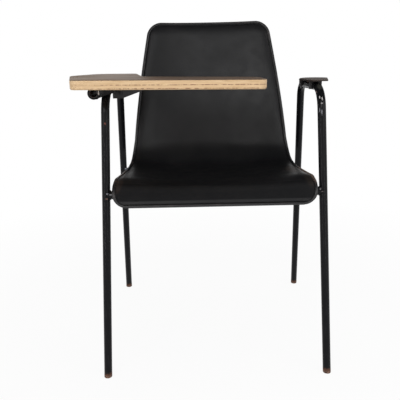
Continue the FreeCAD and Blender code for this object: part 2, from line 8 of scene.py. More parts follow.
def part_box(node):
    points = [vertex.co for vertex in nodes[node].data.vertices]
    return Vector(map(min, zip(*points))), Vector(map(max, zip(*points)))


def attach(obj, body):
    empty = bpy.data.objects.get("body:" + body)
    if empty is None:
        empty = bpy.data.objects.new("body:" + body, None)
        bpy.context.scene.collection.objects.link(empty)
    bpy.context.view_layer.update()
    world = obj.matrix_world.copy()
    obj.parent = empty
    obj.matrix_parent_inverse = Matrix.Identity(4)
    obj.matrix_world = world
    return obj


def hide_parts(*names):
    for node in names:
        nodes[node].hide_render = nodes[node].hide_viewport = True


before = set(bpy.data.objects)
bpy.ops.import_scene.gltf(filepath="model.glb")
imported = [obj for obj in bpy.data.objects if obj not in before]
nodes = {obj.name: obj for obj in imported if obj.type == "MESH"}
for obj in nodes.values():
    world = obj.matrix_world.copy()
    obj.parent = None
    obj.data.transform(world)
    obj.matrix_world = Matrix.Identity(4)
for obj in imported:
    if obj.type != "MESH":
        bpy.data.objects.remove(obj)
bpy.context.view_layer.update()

scene = bpy.context.scene

# ---------------------------------------------------------------- places

# The chair's own frame stands on the floor midway between the front feet
CHAIR = Vector((0.022480, -0.201259, 0.0))
HINGE = Vector((-0.241520, 0.0, 0.672595))
SAG = math.radians(0.8)


def chair_point(x, y, z):
    """A point given from the floor midway between the front feet."""
    return CHAIR + Vector((x, y, z))


# ---------------------------------------------------------------- camera

EYE = chair_point(-0.03634, -1.04091, 0.73712)
LENS, SENSOR, FAR = 44.26, 36.0, 50.0
PAN, DIP, ROLL = -0.0019, 0.2756, -0.0204

camera_data = bpy.data.cameras.new("camera")
camera_data.lens = LENS
camera_data.sensor_width = SENSOR
camera_data.clip_end = FAR
camera = bpy.data.objects.new("camera", camera_data)
scene.collection.objects.link(camera)
camera.matrix_world = (
    Matrix.Translation(EYE)
    @ Matrix.Rotation(PAN, 4, "Z")
    @ Matrix.Rotation(math.radians(90) - DIP, 4, "X")
    @ Matrix.Rotation(ROLL, 4, "Z"))
scene.camera = camera

# ---------------------------------------------------------------- materials


class Finish:
    """A material's node tree, with short ways to add and join its nodes."""

    def __init__(self, name, colour, roughness, metallic=0.0, **sockets):
        self.material = bpy.data.materials.new(name)
        self.material.use_nodes = True
        self.tree = self.material.node_tree
        self.shader = self.tree.nodes["Principled BSDF"]
        self.set(Base_Color=(*colour, 1.0), Roughness=roughness, Metallic=metallic, **sockets)
        self.place = self.node("ShaderNodeTexCoord").outputs["Object"]

    def set(self, **sockets):
        for name, value in sockets.items():
            self.shader.inputs[name.replace("_", " ")].default_value = value

    def node(self, kind, inputs=None, **settings):
        made = self.tree.nodes.new(kind)
        for name, value in settings.items():
            setattr(made, name, value)
        for name, value in (inputs or {}).items():
            if isinstance(value, bpy.types.NodeSocket):
                self.tree.links.new(value, made.inputs[name])
            else:
                made.inputs[name].default_value = value
        return made

    def drive(self, name, value):
        """Feed one of the shader's sockets."""
        self.tree.links.new(value, self.shader.inputs[name])

    def stretched(self, scale=(1, 1, 1), turn=(0, 0, 0), move=(0, 0, 0)):
        """Object coordinates, scaled, turned and moved."""
        mapping = self.node("ShaderNodeMapping", {"Vector": self.place, "Scale": scale,
                                                  "Rotation": turn, "Location": move})
        return mapping.outputs["Vector"]

    def cloud(self, scale, detail=4.0, roughness=0.55, place=None):
        """Soft noise from 0 to 1 at a number of blotches to the metre."""
        made = self.node("ShaderNodeTexNoise", {"Vector": place or self.place, "Scale": scale,
                                                "Detail": detail, "Roughness": roughness})
        return made.outputs["Fac"]

    def cells(self, scale):
        """Distance to the middle of the nearest cell."""
        made = self.node("ShaderNodeTexVoronoi", {"Vector": self.place, "Scale": scale})
        return made.outputs["Distance"]

    def between(self, value, low, high, first=0.0, last=1.0):
        """A value held between two limits and spread over a new range."""
        made = self.node("ShaderNodeMapRange", {"Value": value, "From Min": low, "From Max": high,
                                                "To Min": first, "To Max": last})
        return made.outputs["Result"]

    def sum(self, operation, first, second=0.0):
        """Two values joined by a sum."""
        made = self.node("ShaderNodeMath", operation=operation)
        for i, value in enumerate((first, second)):
            if isinstance(value, bpy.types.NodeSocket):
                self.tree.links.new(value, made.inputs[i])
            else:
                made.inputs[i].default_value = value
        return made.outputs[0]

    def mix(self, share, first, second):
        """One colour going over into another."""
        made = self.node("ShaderNodeMix", data_type="RGBA")
        for name, value in (("Factor", share), ("A", first), ("B", second)):
            sockets = [s for s in made.inputs if s.name == name and s.enabled]
            if isinstance(value, bpy.types.NodeSocket):
                self.tree.links.new(value, sockets[0])
            else:
                sockets[0].default_value = value if name == "Factor" else (*value, 1.0)
        return [s for s in made.outputs if s.enabled][0]

    def bump(self, height, strength, distance):
        """Fine relief in the shading alone."""
        made = self.node("ShaderNodeBump", {"Height": height, "Strength": strength,
                                            "Distance": distance})
        self.drive("Normal", made.outputs["Normal"])

    def mark(self, place, reach, rough=0.6):
        """Ragged patch of one place, with its reach each way."""
        near = self.stretched([1 / r for r in reach], move=[-p / r for p, r in zip(place, reach)])
        away = self.length(near)
        ragged = self.sum("MULTIPLY", self.sum("SUBTRACT", self.cloud(900, 3, 0.6), 0.5), rough * 3)
        return self.between(self.sum("ADD", away, ragged), 1.0, 0.75)

    def length(self, vector):
        """How far a vector reaches from its own origin."""
        made = self.node("ShaderNodeVectorMath", {0: vector}, operation="LENGTH")
        return made.outputs["Value"]

    def axis(self, name, place=None):
        """One coordinate of a place."""
        made = self.node("ShaderNodeSeparateXYZ", {"Vector": place or self.place})
        return made.outputs[name]


RUST_FADE, RUST_LOW, RUST_WAVE = 0.008, -0.002, -0.016
CHIPPED, LIGHT_RUST, DARK_RUST = (0.36, 0.29, 0.26), (0.2, 0.1, 0.065), (0.07, 0.028, 0.016)


def enamelled(name, deep, rubbed, streaks, marks=(), gloss=0.12, rough=0.16):
    """Black stove enamel: rubbed streaks, small pale chips, rust just above the leg ends."""
    made = Finish(name, deep, 0.2, Specular_IOR_Level=gloss)
    scuff = made.between(made.cloud(1, 5, 0.6, made.stretched(streaks)), 0.5, 0.8)
    chip = made.between(made.cloud(230, 3, 0.5), 0.765, 0.775)
    rusty = made.between(made.sum("ADD", made.axis("Z"), made.sum(
        "MULTIPLY", made.cloud(170, 4, 0.6), RUST_WAVE)), RUST_FADE, RUST_LOW)
    colour = made.mix(scuff, deep, rubbed)
    colour = made.mix(chip, colour, CHIPPED)
    for place, reach, tint, *ragged in marks:
        colour = made.mix(made.mark(place, reach, *ragged), colour, tint)
    rust = made.mix(made.cloud(420, 4), DARK_RUST, LIGHT_RUST)
    made.drive("Base Color", made.mix(rusty, colour, rust))
    made.drive("Roughness", made.sum("MAXIMUM", made.between(scuff, 0, 1, rough, rough + 0.14),
                                     made.between(rusty, 0, 1, 0.2, 0.75)))
    made.bump(made.sum("ADD", made.cloud(300, 2), made.sum("MULTIPLY", chip, -0.6)), 0.04, 0.0003)
    return made


PALE, BROWN, PINK = (0.45, 0.43, 0.42), (0.16, 0.06, 0.045), (0.4, 0.27, 0.25)
# Chips, stains and light spots on the tubes, some of them painted highlights and reflections: place,
# reach each way, colour and raggedness
TUBE_MARKS_AND_HIGHLIGHTS = (
    (chair_point(-0.2416, 0.057, 0.6073), (0.0022, 0.02, 0.0026), BROWN),
    (chair_point(0.2303, 0.068, 0.6655), (0.0022, 0.02, 0.0022), PINK),
    (chair_point(0.2355, 0.066, 0.6545), (0.0012, 0.02, 0.0028), PALE),
    (chair_point(0.2405, 0.066, 0.6515), (0.0012, 0.02, 0.0036), PALE),
    (chair_point(0.2395, 0.066, 0.6419), (0.0026, 0.02, 0.0018), (0.25, 0.24, 0.24)),
    (chair_point(0.2352, 0.064, 0.6268), (0.0009, 0.02, 0.0055), (0.2, 0.2, 0.22)),
    (chair_point(0.2398, 0.064, 0.6225), (0.0009, 0.02, 0.0070), (0.3, 0.3, 0.33)),
    # Painted reflection: a paler patch over the top of the right arm's front bend
    (chair_point(0.2390, 0.074, 0.6790), (0.0080, 0.030, 0.0088), (0.026, 0.026, 0.023), 0.1),
    (chair_point(-0.2445, 0.0365, 0.4505), (0.0028, 0.008, 0.0020), (0.22, 0.22, 0.25)),
    (chair_point(-0.2370, 0.0395, 0.4480), (0.0038, 0.008, 0.0016), (0.16, 0.155, 0.16)),
    (chair_point(-0.2465, 0.038, 0.4385), (0.0026, 0.008, 0.0020), (0.13, 0.075, 0.06)),
    (chair_point(0.2400, 0.0380, 0.4520), (0.0022, 0.008, 0.0030), (0.16, 0.155, 0.16)),
    (chair_point(0.2445, 0.0385, 0.4460), (0.0030, 0.008, 0.0014), (0.10, 0.085, 0.085)),
    # Painted highlights: glints on the tops of the two rear cross tube welds
    (chair_point(-0.2470, 0.3600, 0.4400), (0.0030, 0.010, 0.0026), (0.45, 0.46, 0.52)),
    (chair_point(0.2470, 0.3600, 0.4400), (0.0024, 0.010, 0.0020), (0.22, 0.2, 0.19)))
enamel = enamelled("black_enamel", (0.0045, 0.0045, 0.0055), (0.012, 0.0115, 0.013),
                   (260, 260, 16), TUBE_MARKS_AND_HIGHLIGHTS)
SLEEVE_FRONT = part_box("front_hinge_sleeve")[0][1]
bracket_enamel = enamelled(
    "bracket_enamel", (0.006, 0.0055, 0.006), (0.022, 0.019, 0.021), (60, 60, 90),
    # The first mark is a painted highlight: a light crescent on the right of the front sleeve's mouth
    ((HINGE + Vector((0.0116, SLEEVE_FRONT, 0.0004)), (0.0017, 0.003, 0.005), (0.5, 0.47, 0.45)),
     (HINGE + Vector((0.036, SLEEVE_FRONT + 0.003, 0.0085)), (0.0018, 0.004, 0.0014), PALE),
     (HINGE + Vector((0.042, SLEEVE_FRONT + 0.003, 0.0085)), (0.0012, 0.004, 0.0011), PALE)))
# Painted light: the plates under the boards are a paler black than the tubes, standing in for light
# in the boards' shade
PLATE_STREAKS = (40, 40, 60)
lit_plate_enamel = enamelled("lit_plate_enamel", (0.018, 0.017, 0.018), (0.034, 0.030, 0.032),
                         PLATE_STREAKS, gloss=0.3, rough=0.42)
lit_strip_enamel = enamelled("lit_strip_enamel", (0.045, 0.043, 0.044), (0.075, 0.068, 0.070),
                         PLATE_STREAKS, gloss=0.15, rough=0.6)

# Worn leg ends: brown rust over bare steel
leg_end = Finish("worn_leg_end", (0.12, 0.06, 0.04), 0.65, Specular_IOR_Level=0.3)
leg_end.drive("Base Color", leg_end.mix(leg_end.between(leg_end.cloud(380, 5), 0.4, 0.62),
                                        (0.045, 0.02, 0.014), (0.24, 0.14, 0.1)))
leg_end.bump(leg_end.cloud(600, 4), 0.4, 0.0005)


def moulded(name, deep, worn, reach, specular, marks=()):
    """Black moulded plastic with a fine even texture, rubbed brown in places."""
    made = Finish(name, deep, 0.42, Specular_IOR_Level=specular)
    wear = made.between(made.cloud(24, 6, 0.62), *reach)
    fleck = made.between(made.cloud(330, 3, 0.6), 0.71, 0.75)
    colour = made.mix(made.sum("MULTIPLY", wear, 0.8), deep, worn)
    colour = made.mix(made.sum("MULTIPLY", fleck, made.between(wear, 0, 1, 0.15, 0.9)), colour,
                      (0.3, 0.26, 0.25))
    for place, reach, tint in marks:
        colour = made.mix(made.mark(place, reach), colour, tint)
    made.drive("Base Color", colour)
    made.drive("Roughness", made.between(made.cloud(35, 5), 0.3, 0.7, 0.34, 0.5))
    made.bump(made.cloud(1300, 3), 0.15, 0.0002)
    return made


shell_plastic = moulded("shell_plastic", (0.006, 0.006, 0.007), (0.012, 0.0105, 0.0105),
                        (0.5, 0.75), 0.28)
rim_plastic = moulded(
    "rim_plastic", (0.010, 0.0095, 0.0105), (0.045, 0.036, 0.035), (0.52, 0.72), 0.4,
    # The first two marks are painted reflection: brown light over the rim at both wings
    ((chair_point(0.2300, 0.15, 0.478), (0.014, 0.13, 0.02), (0.12, 0.085, 0.068)),
     (chair_point(-0.2300, 0.14, 0.476), (0.014, 0.10, 0.02), (0.05, 0.036, 0.03)),
     (chair_point(-0.205, 0.034, 0.437), (0.010, 0.01, 0.012), (0.07, 0.06, 0.075)),
     (chair_point(-0.118, 0.031, 0.4275), (0.0016, 0.006, 0.0016), (0.5, 0.48, 0.47)),
     (chair_point(-0.197, 0.031, 0.421), (0.0022, 0.006, 0.0016), (0.16, 0.08, 0.05))))

# Black leatherette: fine pebble grain, faint dust, painted brown reflection on the wings, a short cut
# near one front corner
leatherette = Finish("leatherette", (0.004, 0.004, 0.005), 0.42, Specular_IOR_Level=0.24)
dust = leatherette.between(leatherette.cloud(9, 6, 0.62), 0.4, 0.72)
fleck = leatherette.between(leatherette.cloud(260, 4, 0.7), 0.7, 0.78)
hide = leatherette.mix(dust, (0.0050, 0.0050, 0.0057), (0.0078, 0.0075, 0.0082))
hide = leatherette.mix(leatherette.sum("MULTIPLY", fleck, 0.25), hide, (0.035, 0.033, 0.032))
# Painted reflection: faint brown light on the liner's wings
for place, reach, tint in (
        (chair_point(0.205, 0.175, 0.470), (0.022, 0.06, 0.022), (0.022, 0.017, 0.014)),
        (chair_point(0.220, 0.11, 0.470), (0.016, 0.10, 0.022), (0.014, 0.011, 0.0095)),
        (chair_point(-0.222, 0.07, 0.466), (0.014, 0.06, 0.022), (0.017, 0.012, 0.0105))):
    hide = leatherette.mix(leatherette.mark(place, reach, 0.25), hide, tint)
cut = leatherette.mark(chair_point(-0.1775, 0.024, 0.4365), (0.0070, 0.02, 0.0015), 0.25)
hide = leatherette.mix(cut, hide, (0.001, 0.001, 0.0012))
leatherette.drive("Base Color", hide)
# The liner is dull over its front edge, above the groove beside the rim
FRONT_BACK, FRONT_FACE, DULLEST = CHAIR.y + 0.075, CHAIR.y + 0.030, 0.95
GROOVE_TOP, ABOVE_GROOVE = 0.432, 0.437
front_edge = leatherette.between(leatherette.axis("Y"), FRONT_BACK, FRONT_FACE, 0.0, DULLEST)
above_groove = leatherette.between(leatherette.axis("Z"), GROOVE_TOP, ABOVE_GROOVE)
leatherette.drive("Roughness", leatherette.sum(
    "MAXIMUM", leatherette.sum("MULTIPLY", front_edge, above_groove),
    leatherette.between(leatherette.cloud(26, 5), 0.3, 0.7, 0.38, 0.5)))
grain = leatherette.sum("ADD", leatherette.cells(1300), leatherette.sum(
    "MULTIPLY", leatherette.cloud(500, 3), 0.7))
leatherette.bump(grain, 0.14, 0.0003)

# Plywood edge: pale plies with broken darker glue lines, which run along the sagging tablet
LEVEL = (0, -SAG, 0)
BOARD_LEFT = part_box("tablet_board")[0][0]
BOARD_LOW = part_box("tablet_board")[0][2] - HINGE.z
GLUE_LINES = ((0.0038, 0.0011), (0.0105, 0.0010))
GLUE_FAINT, GLUE_FULL = CHAIR.x - 0.245, CHAIR.x - 0.19
ply = Finish("plywood", (0.6, 0.42, 0.24), 0.5, Specular_IOR_Level=0.35)
streaks = ply.cloud(1, 5, 0.6, ply.stretched((26, 26, 520), LEVEL))
height = ply.axis("Z", ply.stretched(turn=LEVEL, move=-HINGE))
tone = ply.mix(ply.between(streaks, 0.35, 0.65), (0.515, 0.34, 0.18), (0.655, 0.47, 0.28))
# Painted light: the plies are lighter over the rounded left corner, where it turns to the light
lit_left_corner = ply.between(ply.axis("X"), BOARD_LEFT + 0.016, BOARD_LEFT + 0.006, 0.0, 0.55)
tone = ply.mix(lit_left_corner, tone, (0.68, 0.53, 0.34))
breaks = ply.cloud(1, 5, 0.7, ply.stretched((240, 240, 200)))
broken = ply.sum("MULTIPLY", ply.between(breaks, 0.42, 0.56),
                 ply.between(ply.axis("X"), GLUE_FAINT, GLUE_FULL, 0.3, 1.0))
for line, wide in GLUE_LINES:
    away = ply.sum("ABSOLUTE", ply.sum("SUBTRACT", height, BOARD_LOW + line))
    glue = ply.between(away, wide, wide * 0.35)
    tone = ply.mix(ply.sum("MULTIPLY", glue, broken), tone, (0.17, 0.07, 0.042))
grime = ply.between(ply.cloud(70, 5, 0.65), 0.62, 0.76)
tone = ply.mix(ply.sum("MULTIPLY", grime, 0.6), tone, (0.26, 0.14, 0.08))
ply.drive("Base Color", tone)
ply.drive("Roughness", ply.between(streaks, 0.3, 0.7, 0.42, 0.6))
ply.bump(streaks, 0.25, 0.0004)

# Laminate: grey-brown, paler at its outer side, dirty along its front edge
laminate = Finish("laminate", (0.1, 0.07, 0.052), 0.4, Specular_IOR_Level=0.2)
FACE_LEFT, FACE_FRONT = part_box("tablet_laminate")[0][:2]
rub = laminate.between(laminate.cloud(7, 6, 0.6), 0.35, 0.68)
speckle = laminate.cloud(380, 3, 0.6)
scored = laminate.stretched((14, 420, 14), (0, 0, 0.5))
scratch = laminate.between(laminate.cloud(1, 3, 0.7, scored), 0.66, 0.72)
across = laminate.between(laminate.axis("X"), FACE_LEFT + 0.10, FACE_LEFT + 0.24)
tone = laminate.mix(across, (0.215, 0.14, 0.085), (0.112, 0.068, 0.043))
tone = laminate.mix(laminate.sum("MULTIPLY", rub, 0.4), tone, (0.175, 0.115, 0.074))
tone = laminate.mix(laminate.between(speckle, 0.4, 0.75, 0.0, 0.4), tone, (0.19, 0.145, 0.11))
tone = laminate.mix(laminate.sum("MULTIPLY", scratch, 0.35), tone, (0.26, 0.21, 0.17))
near_edge = laminate.between(laminate.axis("Y"), FACE_FRONT + 0.011, FACE_FRONT + 0.002)
worn = laminate.between(laminate.cloud(48, 5, 0.65), 0.5, 0.62)
tone = laminate.mix(laminate.sum("MULTIPLY", near_edge, worn), tone, (0.05, 0.03, 0.02))
laminate.drive("Base Color", tone)
laminate.drive("Roughness", laminate.between(rub, 0, 1, 0.36, 0.5))
laminate.bump(speckle, 0.05, 0.0002)

# Brown-grey pressed board of the plain arm, darker on its edge
arm_board = Finish("arm_board", (0.09, 0.07, 0.062), 0.55, Specular_IOR_Level=0.1)
ARM_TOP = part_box("arm_pad")[1][2]
face_up = arm_board.between(arm_board.axis("Z"), ARM_TOP - 0.0008, ARM_TOP - 0.0002)
mottle = arm_board.mix(arm_board.cloud(60, 6, 0.65), (0.06, 0.048, 0.042), (0.12, 0.1, 0.088))
arm_board.drive("Base Color", arm_board.mix(face_up, (0.03, 0.022, 0.019), mottle))
arm_board.bump(arm_board.cloud(900, 3), 0.15, 0.0002)

# Dull zinc on the screws and washers
zinc = Finish("zinc", (0.42, 0.41, 0.4), 0.42, 1.0)
zinc.drive("Base Color", zinc.mix(zinc.between(zinc.cloud(300, 4), 0.5, 0.7),
                                  (0.45, 0.44, 0.42), (0.22, 0.17, 0.13)))
zinc.bump(zinc.cloud(900, 3), 0.2, 0.0002)

# Pivot tube and arm rivets: dark steel, rusty behind the mouth of the tube
pivot_steel = Finish("pivot_steel", (0.05, 0.03, 0.024), 0.5, 0.3, Specular_IOR_Level=0.3)
bore_rust = pivot_steel.between(pivot_steel.cloud(260, 5), 0.4, 0.65)
deep = pivot_steel.between(pivot_steel.axis("Y"), SLEEVE_FRONT + 0.0004, SLEEVE_FRONT + 0.002)
inside = pivot_steel.mix(bore_rust, (0.03, 0.015, 0.011), (0.1, 0.042, 0.028))
pivot_steel.drive("Base Color", pivot_steel.mix(deep, (0.05, 0.046, 0.046), inside))
pivot_steel.bump(pivot_steel.cloud(700, 4), 0.3, 0.0003)

for finish, names in (
        (enamel, ("writing_side_frame", "plain_side_frame", "front_cross_tube", "rear_cross_tube",
                  "front_seat_brackets", "rear_seat_brackets")),
        (bracket_enamel, ("hinge_lugs", "front_hinge_sleeve", "rear_hinge_sleeve",
                          "front_tablet_bracket", "rear_tablet_bracket")),
        (lit_plate_enamel, ("tablet_rest_bracket",)), (lit_strip_enamel, ("arm_pad_strip",)),
        (leg_end, ("leg_end_caps",)), (shell_plastic, ("seat_shell", "seat_mount_blocks")),
        (leatherette, ("seat_pad",)), (arm_board, ("arm_pad",)), (ply, ("tablet_board",)),
        (laminate, ("tablet_laminate",)), (pivot_steel, ("hinge_pivot_tube", "arm_pad_rivets")),
        (zinc, ("seat_screws", "seat_washers", "tablet_screws"))):
    for name in names:
        nodes[name].data.materials.clear()
        nodes[name].data.materials.append(finish.material)

# ---------------------------------------------------------------- helpers

# Faces larger than this many square metres are flat
LARGE_FACE = 0.0002
SAME_PLACE, SAME_PLANE = 1e-6, 0.5
# Angles in degrees above which an edge is sharp
SHARP, SKIN_SHARP, ROUND = 40, 50, 60


def piece(name, mesh, finish, body, slot, *stands_for):
    """A finished piece from a bmesh, riding on a body."""
    data = bpy.data.meshes.new(name)
    mesh.to_mesh(data)
    mesh.free()
    data.materials.append(finish.material)
    made = bpy.data.objects.new(name, data)
    scene.collection.objects.link(made)
    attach(made, body)
    if stands_for:
        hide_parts(*stands_for)
    return made


def smooth(mesh, angle):
    """Round shading, but sharp at edges that turn more than an angle and flat on large faces."""
    for face in mesh.faces:
        face.smooth = face.calc_area() < LARGE_FACE
    for edge in mesh.edges:
        if edge.is_manifold and edge.calc_face_angle() > math.radians(angle):
            edge.smooth = False


def merged(name):
    """A copy of a solid with its loose triangles joined."""
    mesh = bmesh.new()
    mesh.from_mesh(nodes[name].data)
    bmesh.ops.remove_doubles(mesh, verts=mesh.verts, dist=SAME_PLACE)
    return mesh


def softened(name, width, segments, chosen=lambda edge: True, whole=True, clamp=True):
    """A copy of a solid with its flat faces whole and its chosen sharp edges rounded."""
    mesh = merged(name)
    if whole:
        bmesh.ops.dissolve_limit(mesh, angle_limit=math.radians(SAME_PLANE), verts=mesh.verts,
                                 edges=mesh.edges)
    sharp = [e for e in mesh.edges
             if e.is_manifold and e.calc_face_angle() > math.radians(SHARP) and chosen(e)]
    bmesh.ops.bevel(mesh, geom=sharp, offset=width, offset_type="OFFSET", segments=segments,
                    profile=0.5, affect="EDGES", material=-1, clamp_overlap=clamp)
    smooth(mesh, SHARP)
    return mesh


# ---------------------------------------------------------------- seat line, in metres

# The underside line runs from the lip's lower edge, over the seat and up the back
LIP_FRONT, LIP_LOW = 0.03205, 0.420
LIP_DROP, LIP_RADIUS, LIP_TURN = 0.017, 0.020, math.radians(97)
LIP_LEAN, LIP_LEAN_RUN = 0.0055, 0.036
SEAT_RUN, SEAT_HOLLOW = 0.250, math.radians(6)
FOLD_RADIUS, FOLD_TURN = 0.095, math.radians(79)
BACK_RUN, BACK_BOW = 0.3335, math.radians(3)
SEAT_HALF, FOLD_HALF, TOP_HALF = 0.233, 0.2210005, 0.1685056
FOLD_TAPER, TOP_TAPER = -0.08, -0.195
FRONT_CORNER, TOP_CORNER = 0.032, 0.036
SHELL_WALL, RIM_WIDTH = 0.0035, 0.007
# The sides rise off the line, a little below it at the lip and most at the fold
LIP_RISE, SEAT_RISE, FOLD_RISE, TOP_RISE = -0.001, 0.0175, 0.045, 0.014
RISE_LEAD, RISE_RUN, WING_LEAD, DISH = 0.040, 0.070, 0.062, 2.6
RUNS = ((LIP_DROP, 0), (LIP_RADIUS * LIP_TURN, -LIP_TURN), (SEAT_RUN, SEAT_HOLLOW),
        (FOLD_RADIUS * FOLD_TURN, FOLD_TURN), (BACK_RUN, BACK_BOW))
LENGTH = sum(run for run, turn in RUNS)
LIP_END = LIP_DROP + RUNS[1][0]
FOLD_START = LIP_END + SEAT_RUN
FOLD_END = FOLD_START + RUNS[3][0]
FOLD_MIDDLE = (FOLD_START + FOLD_END) / 2


def seat_line(length):
    """Point on the underside line and the direction towards the sitter."""
    lean = LIP_LEAN * max(1 - length / LIP_LEAN_RUN, 0.0) ** 2
    y, z, heading = LIP_FRONT, LIP_LOW, math.radians(90)
    for run, turn in RUNS:
        step = min(length, run)
        bend = turn * step / run
        if turn:
            y += (math.sin(heading + bend) - math.sin(heading)) * run / turn
            z += (math.cos(heading) - math.cos(heading + bend)) * run / turn
        else:
            z += step
        heading += bend
        length -= step
    return y - lean, z, Vector((0, -math.sin(heading), math.cos(heading)))


def blend(first, last, share):
    """Smooth step from one value to another."""
    share = min(max(share, 0.0), 1.0)
    return first + (last - first) * share * share * (3 - 2 * share)


def eased(first, last, slope_first, slope_last, run, share):
    """Cubic from one value to another, with a slope at each end."""
    rest = 1 - share
    ends = first * rest * rest * (1 + 2 * share) + last * share * share * (1 + 2 * rest)
    return ends + run * share * rest * (slope_first * rest - slope_last * share)


def side_width(length):
    """Half the seat's width before its corners are rounded."""
    if length < FOLD_MIDDLE:
        return eased(SEAT_HALF, FOLD_HALF, 0, FOLD_TAPER, FOLD_MIDDLE, length / FOLD_MIDDLE)
    run = LENGTH - FOLD_MIDDLE
    return eased(FOLD_HALF, TOP_HALF, FOLD_TAPER, TOP_TAPER, run, (length - FOLD_MIDDLE) / run)


def edge_rise(length):
    """How far the side edges stand off the underside line."""
    if length < FOLD_START - WING_LEAD:
        return blend(LIP_RISE, SEAT_RISE, (length - LIP_END + RISE_LEAD) / RISE_RUN)
    if length < FOLD_END:
        rising = length - FOLD_START + WING_LEAD
        return blend(SEAT_RISE, FOLD_RISE, rising / (RUNS[3][0] + WING_LEAD))
    return blend(FOLD_RISE, TOP_RISE, (length - FOLD_END) / BACK_RUN)


def half_width(length, inset):
    """Half the width of the outline that lies inside the seat's edge by an inset."""
    half = side_width(length) - inset
    for corner, away in ((FRONT_CORNER, length), (TOP_CORNER, LENGTH - length)):
        radius = corner - inset
        short = radius - (away - inset)
        if short > 0:
            half -= radius - math.sqrt(max(radius * radius - short * short, 0.0))
    return half


def seat_point(length, x, lift):
    """A point of the seat, lifted towards the sitter off the underside."""
    y, z, towards = seat_line(length)
    rise = edge_rise(length) * abs(x / side_width(length)) ** DISH
    return chair_point(x, y, z) + towards * (rise + lift)


CROWDING = 0.055


def seat_skin(inset, columns, rows, lift):
    """Sheet over the seat out to an inset from its edge, lifted by lift(length, x, half)."""
    mesh = bmesh.new()
    bmesh.ops.create_grid(mesh, x_segments=columns, y_segments=rows, size=1.0)
    for vert in mesh.verts:
        along = (vert.co.y + 1) / 2
        along = along - CROWDING * math.sin(2 * math.pi * along)
        length = inset + (LENGTH - 2 * inset) * along
        half = half_width(length, inset)
        x = half * math.sin(vert.co.x * math.pi / 2)
        vert.co = seat_point(length, x, lift(length, x, half))
    return mesh


# ---------------------------------------------------------------- shell and rim

SKIN_INSET = 0.003
skin = seat_skin(SKIN_INSET, 60, 130, lambda length, x, half: SHELL_WALL)
bmesh.ops.solidify(skin, geom=skin.faces[:], thickness=SHELL_WALL)
bmesh.ops.recalc_face_normals(skin, faces=skin.faces)
smooth(skin, SKIN_SHARP)
piece("shell_skin", skin, shell_plastic, "chair", "shell_plastic", "seat_shell")

RIM_RADIUS, RIM_LIFT = 0.0037, 0.0029
CORNER_STEP, CORNER_STEPS, SIDE_STEPS, TOP_STEPS, FRONT_STEPS = 7.5, 12, 120, 20, 24


def rim_points(inset, lift):
    """Evenly turning points round the edge of the shell."""
    turns = [math.radians(CORNER_STEP * i) for i in range(CORNER_STEPS + 1)]
    middle = LENGTH - TOP_CORNER - FRONT_CORNER
    side = [inset + (FRONT_CORNER - inset) * (1 - math.cos(turn)) for turn in turns]
    side += [FRONT_CORNER + middle * i / SIDE_STEPS for i in range(1, SIDE_STEPS)]
    side += [LENGTH - inset - (TOP_CORNER - inset) * (1 - math.sin(turn)) for turn in turns]
    right = [seat_point(s, half_width(s, inset), lift) for s in side]
    left = [seat_point(s, -half_width(s, inset), lift) for s in side]
    front, top = half_width(inset, inset), half_width(LENGTH - inset, inset)
    across_top = [seat_point(LENGTH - inset, top * (1 - i / TOP_STEPS), lift)
                  for i in range(1, 2 * TOP_STEPS)]
    across_front = [seat_point(inset, -front * (1 - i / FRONT_STEPS), lift)
                    for i in range(1, 2 * FRONT_STEPS)]
    return right + across_top + left[::-1] + across_front


LUMP_SCALE = 420


def bead(name, lines, radius, finish, body, slot, *stands_for, closed=True, lumps=0.0):
    """Round bead along each of some lines."""
    curve = bpy.data.curves.new(name, "CURVE")
    curve.dimensions = "3D"
    curve.bevel_depth = radius
    curve.bevel_resolution = 4
    curve.use_fill_caps = True
    for points in lines:
        spline = curve.splines.new("POLY")
        spline.points.add(len(points) - 1)
        for target, point in zip(spline.points, points):
            target.co = (*point, 1.0)
            target.radius = 1 + lumps * noise.noise(point * LUMP_SCALE)
        spline.use_cyclic_u = closed
    line = bpy.data.objects.new(name + "_line", curve)
    data = bpy.data.meshes.new_from_object(line)
    mesh = bmesh.new()
    mesh.from_mesh(data)
    bpy.data.objects.remove(line)
    bpy.data.meshes.remove(data)
    bmesh.ops.remove_doubles(mesh, verts=mesh.verts, dist=SAME_PLACE)
    bmesh.ops.recalc_face_normals(mesh, faces=mesh.faces)
    smooth(mesh, ROUND)
    return piece(name, mesh, finish, body, slot, *stands_for)


bead("shell_rim", [rim_points(RIM_RADIUS, RIM_LIFT)], RIM_RADIUS, rim_plastic, "chair",
     "shell_plastic", "seat_shell")

# ---------------------------------------------------------------- padded liner

PAD_INSET = RIM_WIDTH + 0.0010
PAD_CLEAR, PAD_SKIN = 0.0002, 0.0016
ROLL_REACH, SWELL_START, SWELL_REACH = 0.036, 0.020, 0.070
CROWN, SLACK, SLACK_SCALE, SLACK_SEED = 0.0062, 0.0011, 9, 2.5
PROUD_FRONT, PROUD, PROUD_REACH, TUCK_REACH = 0.0038, 0.0018, 0.026, 0.0032


def roll(distance):
    """Quick rise at the sides and the top, levelling off."""
    return 1 - (1 - min(max(distance, 0) / ROLL_REACH, 1)) ** 3


def swell(distance):
    """Slow rise at the front, where the liner leans back from its groove."""
    return blend(0, 1, (distance - SWELL_START) / SWELL_REACH)


def tuck(distance, reach):
    """Quarter round from nought to one."""
    short = 1 - min(max(distance, 0) / reach, 1)
    return math.sqrt(1 - short * short)


